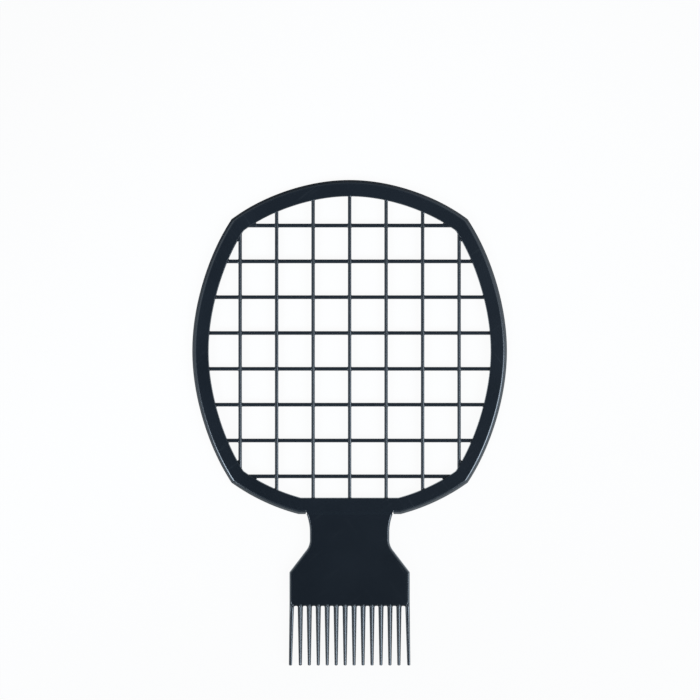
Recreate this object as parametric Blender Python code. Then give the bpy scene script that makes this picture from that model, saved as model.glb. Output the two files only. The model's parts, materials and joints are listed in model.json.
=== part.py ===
"""Racket comb for twisting short curls, with a hair pick at the foot of its handle.

The comb is one flat moulding and lies on its back: X runs across it, Y runs along it
towards the head, and Z is its thickness. The members of the moulding are separate
solids here, a small seat gap apart: the ring, the upright and level bars of its grid,
the handle blade and the teeth of the pick. All lengths are in metres.
"""

import math

import bmesh
import bpy
from mathutils import Matrix, Vector

# The whole moulding
thickness = 0.0050
seat_gap = 0.0003
cut_overrun = 0.0040
weld_distance = 0.000001

# Ring, measured from its own centre
ring_width = 0.1655
ring_reach = 0.0899
side_bow = 0.02065
head_bow = 0.0206
foot_bow = 0.01995
side_ease = 0.0003
head_ease = 0.00025
rim_width = 0.0085
outer_corner_radius = 0.0022
inner_corner_radius = 0.0034
inner_edge_chamfer = 0.00035
wall_fillet = 0.0012
parting_land = 0.0004
wall_draft = math.radians(27)
notch_depth = 0.0013
notch_width = 0.0009
foot_land = 0.0033

# Grid of bars
upright_bar_width = 0.0018
level_bar_width = 0.00195
bar_depth = 0.0028
bar_cap = 0.0008
bar_step = 0.0004
column_count = 7
row_count = 8
side_cell = 0.01668
head_cell = 0.01545
foot_cell = 0.01135

# Handle blade, from the ring down to the roots of the teeth
neck_width = 0.0453
waist_width = 0.0418
blade_width = 0.0633
neck_length = 0.00975
waist_length = 0.0068
flare_length = 0.0140
shank_length = 0.0179
waist_radius = 0.0090
shoulder_radius = 0.0010
blade_side_round = 0.0010
corner_blend = 0.0036
land_length = 0.0008
land_slope = 0.0001

# Teeth
tooth_count = 14
tooth_length = 0.0312
tooth_root_width = 0.00285
end_root_width = 0.00245
tooth_tip_width = 0.00165
end_tooth_splay = 0.0003
tooth_root_thickness = 0.0038
tooth_tip_thickness = 0.0020
root_fillet = 0.00085

# How finely the curved shapes are cut into flats
side_steps = 10
corner_steps = 4
end_steps = 10
fillet_steps = 3
cap_steps = 4
tooth_sides = 12
neck_steps = 8
waist_steps = 6
blend_steps = 5
side_round_steps = 4
root_steps = 4
tip_steps = 3
smooth_angle = math.radians(35)

# Shares, without a unit
corner_run_share = 0.45
tip_cap_share = 0.72

# Worked out from the sizes above
half_thickness = thickness / 2
wall_height = half_thickness - wall_fillet * (1 - math.sin(wall_draft)) - parting_land / 2
band_width = wall_fillet * math.cos(wall_draft) + wall_height * math.tan(wall_draft)
corner_x = ring_width / 2 - side_bow
corner_y = ring_reach - head_bow
foot_reach = corner_y + foot_bow
side_arc_radius = (corner_y**2 + side_bow**2) / (2 * side_bow)
head_arc_radius = (corner_x**2 + head_bow**2) / (2 * head_bow)
foot_arc_radius = (corner_x**2 + foot_bow**2) / (2 * foot_bow)
foot_half_width = neck_width / 2 + notch_width + foot_land
foot_drop = foot_arc_radius - math.sqrt(foot_arc_radius**2 - foot_half_width**2)
seat_reach = foot_reach - foot_drop
blade_length = neck_length + waist_length + flare_length + shank_length
overall_length = ring_reach + seat_reach + blade_length + tooth_length
ring_centre_y = overall_length / 2 - ring_reach
handle_top_y = ring_centre_y - seat_reach

# Colour as linear values, and finish
plastic_colour = (0.0100, 0.0130, 0.0175)
plastic_roughness = 0.32


def clear_scene():
    """Remove the objects that a new file starts with."""
    for item in list(bpy.data.objects):
        bpy.data.objects.remove(item, do_unlink=True)


def new_collection(name):
    """A collection under the scene's own."""
    made = bpy.data.collections.new(name)
    bpy.context.scene.collection.children.link(made)
    return made


def plastic(name):
    """The black moulded plastic of the comb, for one kind of member."""
    material = bpy.data.materials.new(name)
    material.use_nodes = True
    shader = material.node_tree.nodes["Principled BSDF"]
    shader.inputs["Base Color"].default_value = (*plastic_colour, 1)
    shader.inputs["Roughness"].default_value = plastic_roughness
    shader.inputs["Metallic"].default_value = 0
    material.diffuse_color = (*plastic_colour, 1)
    return material


def anchor(name, y, collection):
    """An empty in the mid-plane of the moulding, which pieces are measured from."""
    empty = bpy.data.objects.new(name, None)
    empty.location = (0, y, half_thickness)
    collection.objects.link(empty)
    return empty


def piece(name, shape, parent, collection, material):
    """A sub-part made from an edited mesh, with faces turned outwards and shaded smooth."""
    bmesh.ops.recalc_face_normals(shape, faces=shape.faces)
    mesh = bpy.data.meshes.new(name)
    shape.to_mesh(mesh)
    shape.free()
    mesh.shade_smooth()
    mesh.set_sharp_from_angle(angle=smooth_angle)
    made = bpy.data.objects.new(name, mesh)
    made.parent = parent
    collection.objects.link(made)
    made.data.materials.append(material)
    return made


def cutter(name, shape, parent, collection):
    """A shape that only cuts others, drawn as wire and left out of the part."""
    bmesh.ops.recalc_face_normals(shape, faces=shape.faces)
    mesh = bpy.data.meshes.new(name)
    shape.to_mesh(mesh)
    shape.free()
    made = bpy.data.objects.new(name, mesh)
    made.parent = parent
    made.hide_render = True
    made.display_type = "WIRE"
    collection.objects.link(made)
    return made


def cut(target, tool, operation):
    """A Boolean that keeps or removes the space of the tool."""
    modifier = target.modifiers.new(operation.lower(), "BOOLEAN")
    modifier.operation = operation
    modifier.solver = "EXACT"
    modifier.object = tool


def loft(loops, closed):
    """Faces between loops of equal counts: joined round into a tube ring, or capped at both ends."""
    shape = bmesh.new()
    rows = [[shape.verts.new(point) for point in loop] for loop in loops]
    spans = list(zip(rows, rows[1:]))
    if closed:
        spans.append((rows[-1], rows[0]))
    else:
        shape.faces.new(rows[0])
        shape.faces.new(rows[-1])
    for first, second in spans:
        for i in range(len(first)):
            j = (i + 1) % len(first)
            shape.faces.new((first[i], first[j], second[j], second[i]))
    return shape


def flat_solid(name, outline, depth):
    """A flat outline made solid: a filled 2D curve, turned into a mesh with its caps welded."""
    curve = bpy.data.curves.new(name, "CURVE")
    curve.dimensions = "2D"
    curve.fill_mode = "BOTH"
    curve.extrude = depth / 2
    spline = curve.splines.new("POLY")
    spline.points.add(len(outline) - 1)
    for point, place in zip(spline.points, outline):
        point.co = (place[0], place[1], 0, 1)
    spline.use_cyclic_u = True
    guide = bpy.data.objects.new(name, curve)
    bpy.context.scene.collection.objects.link(guide)
    graph = bpy.context.evaluated_depsgraph_get()
    mesh = bpy.data.meshes.new_from_object(guide.evaluated_get(graph))
    bpy.data.objects.remove(guide)
    bpy.data.curves.remove(curve)
    shape = bmesh.new()
    shape.from_mesh(mesh)
    bpy.data.meshes.remove(mesh)
    bmesh.ops.remove_doubles(shape, verts=shape.verts, dist=weld_distance)
    return shape


def arc(centre, radius, start, stop, steps, ease=0):
    """Points on a circle from one angle to another, both ends included.

    Halfway along, an eased arc runs inside of the circle by the ease.
    """
    points = []
    for i in range(steps + 1):
        angle = start + (stop - start) * i / steps
        reach = radius - ease * math.sin(math.pi * i / steps) ** 2
        points.append(centre + reach * Vector((math.cos(angle), math.sin(angle))))
    return points


def circles_meet(first, first_radius, second, second_radius):
    """The crossing of two circles that lies furthest to the upper right."""
    apart = second - first
    distance = apart.length
    along = (distance**2 + first_radius**2 - second_radius**2) / (2 * distance)
    aside = math.sqrt(first_radius**2 - along**2)
    direction = apart / distance
    across = Vector((-direction.y, direction.x))
    crossings = (first + direction * along + across * aside, first + direction * along - across * aside)
    return max(crossings, key=lambda point: point.x + point.y)


def angle_of(vector):
    """The angle of a flat vector from the X axis."""
    return math.atan2(vector.y, vector.x)


def rounded_corner(before, corner, after, radius, steps):
    """The arc that rounds a corner between two straight runs, limited by their lengths."""
    back = before - corner
    onward = after - corner
    half_angle = back.angle(onward) / 2
    longest = corner_run_share * min(back.length, onward.length)
    reach = min(radius / math.tan(half_angle), longest)
    fitted = reach * math.tan(half_angle)
    middle = (back.normalized() + onward.normalized()).normalized()
    centre = corner + middle * fitted / math.sin(half_angle)
    start = angle_of(corner + back.normalized() * reach - centre)
    stop = angle_of(corner + onward.normalized() * reach - centre)
    turn = (stop - start + math.pi) % (2 * math.pi) - math.pi
    return arc(centre, fitted, start, start + turn, steps)


def ring_quarter(inset, to_foot):
    """A quarter of the ring's outline, drawn in by inset, from its widest place to its end.

    It runs up the side arc, round the corner and along the arc of the head to the middle
    of the comb, or along the arc of the foot to the flat foot.
    """
    arc_radius = foot_arc_radius if to_foot else head_arc_radius
    side_centre = Vector((ring_width / 2 - side_arc_radius, 0))
    end_centre = Vector((0, (foot_reach if to_foot else ring_reach) - arc_radius))
    side_radius = side_arc_radius - inset
    end_radius = arc_radius - inset
    corner_share = inset / rim_width
    corner_radius = outer_corner_radius + (inner_corner_radius - outer_corner_radius) * corner_share
    corner_centre = circles_meet(
        side_centre, side_radius - corner_radius, end_centre, end_radius - corner_radius
    )
    side_stop = angle_of(corner_centre - side_centre)
    end_start = angle_of(corner_centre - end_centre)
    end_stop = math.pi / 2
    if to_foot:
        end_stop = math.asin((seat_reach - inset - end_centre.y) / end_radius)
    end_ease = 0 if to_foot else head_ease
    side = arc(side_centre, side_radius, 0, side_stop, side_steps, side_ease)
    corner = arc(corner_centre, corner_radius, side_stop, end_start, corner_steps)
    end = arc(end_centre, end_radius, end_start, end_stop, end_steps, end_ease)
    return side + corner[1:-1] + end


def ring_outline(inset):
    """The closed outline of the ring, drawn in by inset, from the right side anticlockwise.

    The top half is two mirrored quarters. The bottom half stops at a flat foot, where a
    small notch lies on each side of the handle. Between the notches the outer wall
    stands square, so that the blade seats flat against it.
    """
    top = ring_quarter(inset, False)
    bottom = [Vector((p.x, -p.y)) for p in ring_quarter(inset, True)]
    lip = Vector((neck_width / 2 + notch_width, inset - seat_reach))
    tip = Vector((neck_width / 2 + notch_width / 2, max(inset, notch_depth) - seat_reach))
    seat_inset = inset if inset > band_width else 0
    seat = Vector((neck_width / 2, seat_inset - seat_reach))
    right_half = [seat, tip, lip] + bottom[::-1] + top[1:]
    left_half = [Vector((-p.x, p.y)) for p in right_half[::-1]]
    return right_half + left_half[1:]


def ring_section():
    """The rim's section as pairs of inset and height, once round it.

    The inner wall is upright with a chamfer at each face. The outer wall slopes out from
    a filleted edge to the parting land at mid thickness.
    """
    front = [
        (rim_width, half_thickness - inner_edge_chamfer),
        (rim_width - inner_edge_chamfer, half_thickness),
    ]
    for i in range(fillet_steps + 1):
        angle = math.pi / 2 + (wall_draft - math.pi / 2) * i / fillet_steps
        inset = band_width - wall_fillet * math.cos(angle)
        height = half_thickness - wall_fillet + wall_fillet * math.sin(angle)
        front.append((inset, height))
    front.append((0, parting_land / 2))
    back = [(inset, -height) for inset, height in front[::-1]]
    return front + back


def make_ring(parent, collection, material):
    """The barrel-shaped ring with its crossbar, as one loft through the loops of its section."""
    loops = [[(p.x, p.y, height) for p in ring_outline(inset)] for inset, height in ring_section()]
    return piece("ring", loft(loops, closed=True), parent, collection, material)


def bar_section(width, y):
    """A bar's section across Y: upright sides between a round front and a round back."""
    points = []
    for side in (1, -1):
        for i in range(cap_steps + 1):
            angle = math.pi * i / cap_steps
            rise = bar_depth / 2 - bar_cap * (1 - math.sin(angle))
            points.append((side * width / 2 * math.cos(angle), y, side * rise))
    return points


def even_places(first, last, count):
    """Places at an even pitch from the first to the last."""
    return [first + (last - first) * i / (count - 1) for i in range(count)]


def bar_shape(length, width, upright):
    """A bar about its own middle, along Y when upright and along X when not."""
    sections = [bar_section(width, y) for y in (-length / 2, length / 2)]
    shape = loft(sections, closed=False)
    if not upright:
        turn = Matrix.Rotation(math.pi / 2, 3, "Z")
        bmesh.ops.rotate(shape, verts=shape.verts, cent=(0, 0, 0), matrix=turn)
    return shape


def lap_shape(places, bar_width, upright, side):
    """Channels along the bars at these places, open to the front (side 1) or the back (side -1)."""
    shape = bmesh.new()
    width = bar_width + 2 * seat_gap
    length = 2 * ring_reach + ring_width
    height = half_thickness + cut_overrun
    middle = side * (height - seat_gap) / 2
    for place in places:
        box = bmesh.ops.create_cube(shape, size=1)
        size = (width, length, height) if upright else (length, width, height)
        shift = (place, 0, middle) if upright else (0, place, middle)
        bmesh.ops.scale(shape, verts=box["verts"], vec=size)
        bmesh.ops.translate(shape, verts=box["verts"], vec=shift)
    return shape


def make_grid(parent, collection, cutters, material):
    """The bars of the grid, trimmed to the ring's opening and lapped where they cross.

    An upright bar keeps its front half at a crossing, and a level bar its back half. The
    upright bars stand a step further to the front than the level ones.
    """
    opening = flat_solid("opening", ring_outline(rim_width + seat_gap), thickness + 2 * cut_overrun)
    opening = cutter("opening_cutter", opening, parent, cutters)
    last_column = ring_width / 2 - rim_width - side_cell
    top_row = ring_reach - rim_width - head_cell
    bottom_row = foot_cell + rim_width - seat_reach
    columns = even_places(-last_column, last_column, column_count)
    rows = even_places(top_row, bottom_row, row_count)
    level_laps = lap_shape(rows, level_bar_width, False, -1)
    upright_laps = lap_shape(columns, upright_bar_width, True, 1)
    behind = cutter("level_lap_cutter", level_laps, parent, cutters)
    ahead = cutter("upright_lap_cutter", upright_laps, parent, cutters)
    for number, x in enumerate(columns, 1):
        shape = bar_shape(2 * ring_reach, upright_bar_width, True)
        made = piece(f"upright_bar_{number}", shape, parent, collection, material)
        made.location = (x, 0, bar_step / 2)
        cut(made, opening, "INTERSECT")
        cut(made, behind, "DIFFERENCE")
    for number, y in enumerate(rows, 1):
        shape = bar_shape(ring_width, level_bar_width, False)
        made = piece(f"level_bar_{number}", shape, parent, collection, material)
        made.location = (0, y, -bar_step / 2)
        cut(made, opening, "INTERSECT")
        cut(made, ahead, "DIFFERENCE")


def blade_side():
    """The handle blade's right side from the ring down to the roots of the teeth.

    The neck narrows to the waist on a parabola, and a straight flare leads from there to
    the shoulder. The side below it runs straight down, with more points where the corner
    of the face turns and where the land begins.
    """
    top = -seat_gap
    waist_y = -neck_length
    flare_y = waist_y - waist_length
    shoulder_y = flare_y - flare_length
    foot_y = shoulder_y - shank_length
    half_waist = waist_width / 2
    half_blade = blade_width / 2
    side = []
    for i in range(neck_steps + 1):
        share = 1 - i / neck_steps
        x = half_waist + (neck_width / 2 - half_waist) * share**2
        side.append(Vector((x, waist_y + (top - waist_y) * share)))
    waist = Vector((half_waist, waist_y))
    flare = Vector((half_waist, flare_y))
    shoulder = Vector((half_blade, shoulder_y))
    foot = Vector((half_blade, foot_y))
    side += rounded_corner(waist, flare, shoulder, waist_radius, waist_steps)
    side += rounded_corner(flare, shoulder, foot, shoulder_radius, corner_steps)
    land_y = foot_y + land_length
    for i in range(blend_steps + 1):
        turn = math.pi / 2 * i / blend_steps
        side.append(Vector((half_blade, land_y + corner_blend * (1 - math.sin(turn)))))
    side.append(Vector((half_blade, land_y - land_slope)))
    side.append(foot)
    return side


def blade_section(half_width, round_width, half_height, y):
    """A slab across Y whose sides are half ellipses."""
    quarter = []
    for i in range(side_round_steps + 1):
        angle = math.pi / 2 * i / side_round_steps
        x = half_width - round_width * (1 - math.cos(angle))
        quarter.append((x, half_height * math.sin(angle)))
    upper = quarter + [(-x, z) for x, z in quarter[::-1]]
    lower = [(x, -z) for x, z in upper[-2:0:-1]]
    return [(x, y, z) for x, z in upper + lower]


def make_blade(parent, collection, material):
    """The waisted blade that is both the handle and the back of the pick.

    Its side round is measured square to the side, so across the blade it is wider by the
    side's slope. Above the teeth it grows by a quarter ellipse to the width of an end
    tooth, and the last of the blade is a land as thick as the roots of the teeth.
    """
    side = blade_side()
    land_y = side[-1].y + land_length
    sections = []
    for i, point in enumerate(side):
        before = side[max(i - 1, 0)]
        after = side[min(i + 1, len(side) - 1)]
        slope = (after.x - before.x) / (after.y - before.y)
        down_share = min(max((land_y + corner_blend - point.y) / corner_blend, 0), 1)
        grown_share = 1 - math.sqrt(1 - down_share**2)
        round_width = blade_side_round * math.sqrt(1 + slope**2)
        round_width += (end_root_width - blade_side_round) * grown_share
        on_land = point.y < land_y - land_slope / 2
        half_height = tooth_root_thickness / 2 if on_land else half_thickness
        sections.append(blade_section(point.x, round_width, half_height, point.y))
    piece("handle_blade", loft(sections, closed=False), parent, collection, material)


def tooth_section(left, right, half_height, y):
    """An ellipse across Y, between two sides and about the mid-plane."""
    middle = (left + right) / 2
    half_width = (right - left) / 2
    angles = [2 * math.pi * i / tooth_sides for i in range(tooth_sides)]
    return [(middle + half_width * math.cos(a), y, half_height * math.sin(a)) for a in angles]


def tooth_loops(root, tip, fillets, root_y):
    """Sections of a tooth from its root to its rounded tip.

    root and tip are pairs of left and right sides, and fillets are the radii on each side
    at the root, as quarter rounds that lead into the gaps.
    """
    fillet = max(fillets)
    start = root_y - seat_gap
    body = tooth_length - seat_gap
    round_length = tooth_tip_width / 2
    loops = []
    downs = [fillet * (1 - math.cos(math.pi / 2 * i / root_steps)) for i in range(root_steps)]
    for down in downs + [fillet, body - round_length]:
        share = down / body
        lag = max(fillet - down, 0)
        spread_share = 1 - math.sqrt(1 - (lag / fillet) ** 2)
        left = root[0] + (tip[0] - root[0]) * share - fillets[0] * spread_share
        right = root[1] + (tip[1] - root[1]) * share + fillets[1] * spread_share
        half_height = (tooth_root_thickness + (tooth_tip_thickness - tooth_root_thickness) * share) / 2
        loops.append(tooth_section(left, right, half_height, start - down))
    cap_angle = math.pi / 2 * tip_cap_share
    middle = (tip[0] + tip[1]) / 2
    for i in range(1, tip_steps + 1):
        angle = cap_angle * i / tip_steps
        half_width = tooth_tip_width / 2 * math.cos(angle)
        half_height = tooth_tip_thickness / 2 * math.cos(angle)
        down = body - round_length + round_length * math.sin(angle) / math.sin(cap_angle)
        section = tooth_section(middle - half_width, middle + half_width, half_height, start - down)
        loops.append(section)
    return loops


def make_teeth(parent, collection, material):
    """The row of tapering teeth, with the two end teeth in line with the blade's sides."""
    root_y = -blade_length
    inner_count = tooth_count - 2
    gaps = tooth_count - 1
    gap = (blade_width - 2 * end_root_width - inner_count * tooth_root_width) / gaps
    fillet = min(root_fillet, (gap - seat_gap) / 2)
    left = -blade_width / 2
    for number in range(1, tooth_count + 1):
        is_end = number in (1, tooth_count)
        width = end_root_width if is_end else tooth_root_width
        right = left + width
        middle = (left + right) / 2
        fillets = [fillet, fillet]
        if number == 1:
            middle = left - end_tooth_splay + tooth_tip_width / 2
            fillets[0] = 0
        if number == tooth_count:
            middle = right + end_tooth_splay - tooth_tip_width / 2
            fillets[1] = 0
        tip = (middle - tooth_tip_width / 2, middle + tooth_tip_width / 2)
        loops = tooth_loops((left, right), tip, fillets, root_y)
        piece(f"tooth_{number:02d}", loft(loops, closed=False), parent, collection, material)
        left = right + gap


def main():
    """Build the comb."""
    clear_scene()
    comb = new_collection("racket_comb")
    cutters = new_collection("cutters")
    ring_centre = anchor("ring_centre", ring_centre_y, comb)
    handle_top = anchor("handle_top", handle_top_y, comb)
    make_ring(ring_centre, comb, plastic("ring_plastic"))
    make_grid(ring_centre, comb, cutters, plastic("bar_plastic"))
    make_blade(handle_top, comb, plastic("blade_plastic"))
    make_teeth(handle_top, comb, plastic("tooth_plastic"))


main()
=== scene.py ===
"""Racket comb: studio scene.

The moulding lies on its back on a pale studio floor: X runs across it, Y runs along it
towards the head of the ring, and Z is its thickness. Each member that is divided in the
solid model is rebuilt here as a finer surface that runs into its neighbours, as the real
moulding does, and gets the finish of black moulded plastic.
"""

import json
import math

import bpy
import numpy as np
from bpy.props import FloatProperty, FloatVectorProperty, IntProperty, PointerProperty
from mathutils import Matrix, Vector

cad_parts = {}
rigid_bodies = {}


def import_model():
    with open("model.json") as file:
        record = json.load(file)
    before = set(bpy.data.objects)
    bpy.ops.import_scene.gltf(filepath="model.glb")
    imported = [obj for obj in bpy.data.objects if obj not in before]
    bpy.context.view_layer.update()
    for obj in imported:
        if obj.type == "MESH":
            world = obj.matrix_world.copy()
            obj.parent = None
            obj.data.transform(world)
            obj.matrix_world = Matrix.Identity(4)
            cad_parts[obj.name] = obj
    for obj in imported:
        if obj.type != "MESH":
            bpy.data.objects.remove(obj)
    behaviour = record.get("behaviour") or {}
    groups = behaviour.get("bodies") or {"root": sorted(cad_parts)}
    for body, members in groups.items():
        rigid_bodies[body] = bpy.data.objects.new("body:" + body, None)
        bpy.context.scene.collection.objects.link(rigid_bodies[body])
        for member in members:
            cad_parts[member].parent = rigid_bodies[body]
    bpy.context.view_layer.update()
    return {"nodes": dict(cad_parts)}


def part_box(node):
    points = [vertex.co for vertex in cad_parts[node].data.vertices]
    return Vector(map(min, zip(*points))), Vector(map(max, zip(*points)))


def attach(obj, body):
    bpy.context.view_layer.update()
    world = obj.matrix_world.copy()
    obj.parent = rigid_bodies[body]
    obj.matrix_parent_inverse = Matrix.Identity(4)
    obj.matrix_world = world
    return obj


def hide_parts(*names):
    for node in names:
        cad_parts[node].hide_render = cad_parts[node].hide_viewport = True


bl_info = {
    "name": "Racket Comb",
    "version": (1, 0, 0),
    "blender": (4, 5, 0),
    "location": "3D View > Sidebar > Comb",
    "description": "Builds a racket comb in black moulded plastic, with its studio",
    "category": "Object",
}

# Blender's own first objects make way for the frame
for item in list(bpy.data.objects):
    bpy.data.objects.remove(item, do_unlink=True)
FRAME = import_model()
RING_LOW, RING_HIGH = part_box("ring")
BLADE_LOW, BLADE_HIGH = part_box("handle_blade")
COLUMN_NODES, ROW_NODES, TOOTH_NODES = (
    sorted(name for name in FRAME["nodes"] if name.startswith(start))
    for start in ("upright_bar", "level_bar", "tooth")
)

QUARTER = math.pi / 2

# Faces that meet at less than this angle are shaded as one smooth surface
SMOOTH_ANGLE = math.radians(32)

# Steps along the rim's outline, from the seat on, and round its section
SEAT_STEPS = 8
NOTCH_STEPS = 12
HEEL_STEPS = 5
ARC_STEPS = 72
CORNER_STEPS = 12
INNER_EDGE_STEPS = 4
FACE_STEPS = 5
FILLET_STEPS = 10
WALL_STEPS = 4

# Steps along a bar, at its ends and at a crossing, and round its front and back
BAR_STEPS = 40
END_STEPS = 18
CROSSING_STEPS = 6
CAP_STEPS = 18

# A bar's stations: how they are rounded, how near two may lie and by how much one may lie out
STATION_DIGITS = 7
STATION_GAP = 0.000002
STATION_SLACK = 0.000000001

# Steps down the side of the blade and round its side, and places across its face, as shares
# of the way from the middle to the round side
NECK_STEPS = 39
WAIST_STEPS = 24
SHOULDER_STEPS = 10
STRAIGHT_STEPS = 11
BLEND_STEPS = 24
LIP_STEPS = 6
LAND_STEPS = 5
SIDE_STEPS = 12
FACE_PLACES = (0.97, 0.7, 0.35, 0)

# Steps down a tooth and round it, and the turn of its tip, just short of a quarter
ROOT_STEPS = 13
TOOTH_STEPS = 29
TIP_STEPS = 11
TOOTH_SIDES = 32
TIP_TURN = 0.49 * math.pi

# Wear from 0 to 1, which the attribute edge carries, from one end to the other where it changes
OPENING_WEAR = 0.5
WALL_WEAR = (0.7, 0.2)
BAR_WEAR = 0.35
BLADE_SIDE_WEAR = (0.3, 1)
TOOTH_WEAR = (0.25, 0.85)

# The plastic's index of refraction, and the roughness of its clear gloss and of its noises
PLASTIC_INDEX = 1.59
GLOSS_ROUGHNESS = 0.2
NOISE_ROUGHNESS = 0.55

# Darkest and lightest tone of its colour, and how much clouds and flow lines count between them
CLOUD_TONES = (0.80, 1.28)
CLOUD_TINT = 0.8
FLOW_TINT = 0.2

# Scuffs are the crests of a noise. They tint the plastic, and are a share of its grain deep
SCUFF_STOPS = [(0.0, 0.0), (0.66, 0.0), (0.72, 1.0), (0.8, 1.0)]
SCUFF_TINT = 0.07
SCUFF_DEPTH = 0.4

# Wear is the attribute edge times a least share plus some noise, and tints the plastic
LEAST_WEAR = 0.35
WEAR_NOISE = 0.9
WEAR_TINT = 0.35

# How much smoother plain plastic and worn plastic are, and how much rougher the others make it
POLISH = 0.06
WEAR_POLISH = 0.05
CLOUD_ROUGHNESS = 0.08
FLOW_ROUGHNESS = 0.03
SCUFF_ROUGHNESS = 0.06

# What bars and teeth add to the seed, and how far flow lines and scuffs turn on the bars
BAR_SEED_STEP = 41
TOOTH_SEED_STEP = 127
BAR_GRAIN_TURN = 0.2

# The floor, and the pool of light painted on it, which only gloss mirrors: a ramp of greys from
# the tips to the head, over the place along plus a shift and times a scale, and a slope to the right
FLOOR_REACH = 4.0
FLOOR_DROP = 0.00005
PAINTED_POOL_STOPS = [(0.0, 0.3), (0.07, 0.4), (0.17, 1.0), (0.25, 1.0), (0.35, 0.7), (0.6, 0.7), (0.96, 0.05)]
PAINTED_POOL_SHIFT = 0.15
PAINTED_POOL_SCALE = 3.333
PAINTED_POOL_SLOPE = 2.0
PAINTED_POOL_LEAST = 0.05
PAINTED_POOL_COLOUR = (0.63, 0.705, 0.75, 1)

# The room: greys of its ceiling from level to overhead, of its walls from left to right and
# of its head panel from foot to head, and its colour
CEILING_STOPS = [(0.0, 0.1), (0.25, 0.16), (0.5, 0.5), (0.7, 0.45), (0.92, 0.05), (1.0, 0.03)]
WALL_STOPS = [(0.0, 0.95), (0.2, 0.9), (0.4, 0.0), (0.54, 0.0), (0.68, 0.7), (0.78, 1.0), (1.0, 1.0)]
HEAD_STOPS = [(0.0, 0.0), (0.5, 0.0), (0.54, 0.13), (0.6, 0.16), (0.66, 0.0), (1.0, 0.0)]
ROOM_COLOUR = (0.585, 0.675, 0.75, 1)
BLACK = (0, 0, 0, 1)

# Softboxes: place and target from the ring's centre, width and height, and spread in degrees
LAMPS = {
    "softbox_left": ((-0.41, -0.28, 0.4), (-0.07, 0.02, 0), (0.2, 0.42), 38),
    "softbox_right": ((0.47, -0.18, 0.4), (0.06, 0, 0), (0.42, 0.42), 52),
}
LAMP_COLOUR = (0.7, 0.85, 1.0)

# The camera's sensor in millimetres, and how far the camera stands off the ring's centre
SENSOR_WIDTH = 36
CAMERA_SHIFT = (0.0002, 0.00048)


def length(name, default, description):
    """A length property in metres."""
    return FloatProperty(
        name=name, default=default, description=description, min=0, precision=5, unit="LENGTH"
    )


def number(name, default, description, least=0, most=1):
    """A plain number, which goes from 0 to 1 unless other ends are given."""
    return FloatProperty(name=name, default=default, description=description, min=least, max=most)


def tint(name, default, description):
    """A colour property."""
    return FloatVectorProperty(
        name=name, default=default, description=description, min=0, max=1, size=3, subtype="COLOR"
    )


class CombRingSizes(bpy.types.PropertyGroup):
    """Sizes of the ring, measured from its own centre."""

    width: length("Width", RING_HIGH.x - RING_LOW.x, "Across the ring")
    reach: length("Reach", 0.0899, "From the centre of the ring to its head")
    side_bow: length("Side bow", 0.02065, "How far a side bulges beyond its corners")
    head_bow: length("Head bow", 0.0206, "How far the head bulges beyond its corners")
    foot_bow: length("Foot bow", 0.01995, "How far the foot's arc bulges beyond its corners")
    side_ease: length("Side ease", 0.0003, "How far a side runs inside of its arc halfway")
    head_ease: length("Head ease", 0.00025, "How far the head runs inside of its arc halfway")
    rim_width: length("Rim width", 0.0085, "Between the outer and the inner outline")
    outer_corner: length("Outer corner", 0.0022, "Radius of the outer corners")
    inner_corner: length("Inner corner", 0.0034, "Radius of the corners of the opening")
    edge_fillet: length("Edge fillet", 0.00145, "Radius between the face and the outer wall")
    inner_edge: length("Inner edge", 0.00012, "Radius at the edge of the opening")
    parting_land: length("Parting land", 0.0004, "Upright band at the middle of the outer wall")
    wall_draft: FloatProperty(
        name="Wall draft",
        default=math.radians(33),
        description="Slope of the outer wall from upright",
        unit="ROTATION",
    )
    notch_depth: length("Notch depth", 0.00115, "Depth of the notch on each side of the neck")
    notch_width: length("Notch width", 0.0009, "Width of the notch on each side of the neck")
    notch_inset: length("Notch inset", 0.0004, "How far each notch reaches over the neck")
    foot_land: length("Foot land", 0.0033, "Flat of the foot beyond each notch")


class CombGridSizes(bpy.types.PropertyGroup):
    """Sizes of the bars in the ring."""

    bar_width: length("Bar width", 0.0018, "Width of an upright bar")
    bar_depth: length("Bar depth", 0.0032, "Depth that upright and level bars span together")
    row_sink: length("Level sink", 0.0004, "How far level bars lie behind upright ones")
    crossing_fillet: length("Crossing fillet", 0.00045, "Radius in the corners of a crossing")
    rim_fillet: length("Rim fillet", 0.0005, "Radius where a bar meets the rim")
    root_overlap: length("Root overlap", 0.0009, "How far a bar runs on into the rim")
    level_widening: length("Level widening", 0.00015, "How much wider a level bar is")
    cap: length("Cap", 0.0008, "Height of the round front and back of a bar's section")


class CombBladeSizes(bpy.types.PropertyGroup):
    """Sizes of the handle blade, from the ring down."""

    neck_width: length("Neck width", 0.0453, "At the ring")
    waist_width: length("Waist width", 0.0418, "At the narrowest place")
    width: length("Width", BLADE_HIGH.x - BLADE_LOW.x, "At the roots of the teeth")
    neck_length: length("Neck length", 0.00975, "From the ring to the waist")
    waist_length: length("Waist length", 0.0068, "Length of the waist")
    flare_length: length("Flare length", 0.014, "Length of the flare")
    shank_length: length("Shank length", 0.01765, "From the flare to the roots of the teeth")
    land: length("Land", 0.0008, "Lowered land above the roots of the teeth")
    land_drop: length("Land drop", 0.0013, "How far the land lies below the face")
    lip_round: length("Lip round", 0.00012, "Radius at the end of the face")
    waist_radius: length("Waist radius", 0.009, "Radius between the waist and the flare")
    shoulder_radius: length("Shoulder radius", 0.001, "Radius at the shoulder")
    side_round: length("Side round", 0.001, "Width of the half ellipse along each side")
    corner_blend: length("Corner blend", 0.0024, "Where a side starts to turn into an end tooth")


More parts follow.
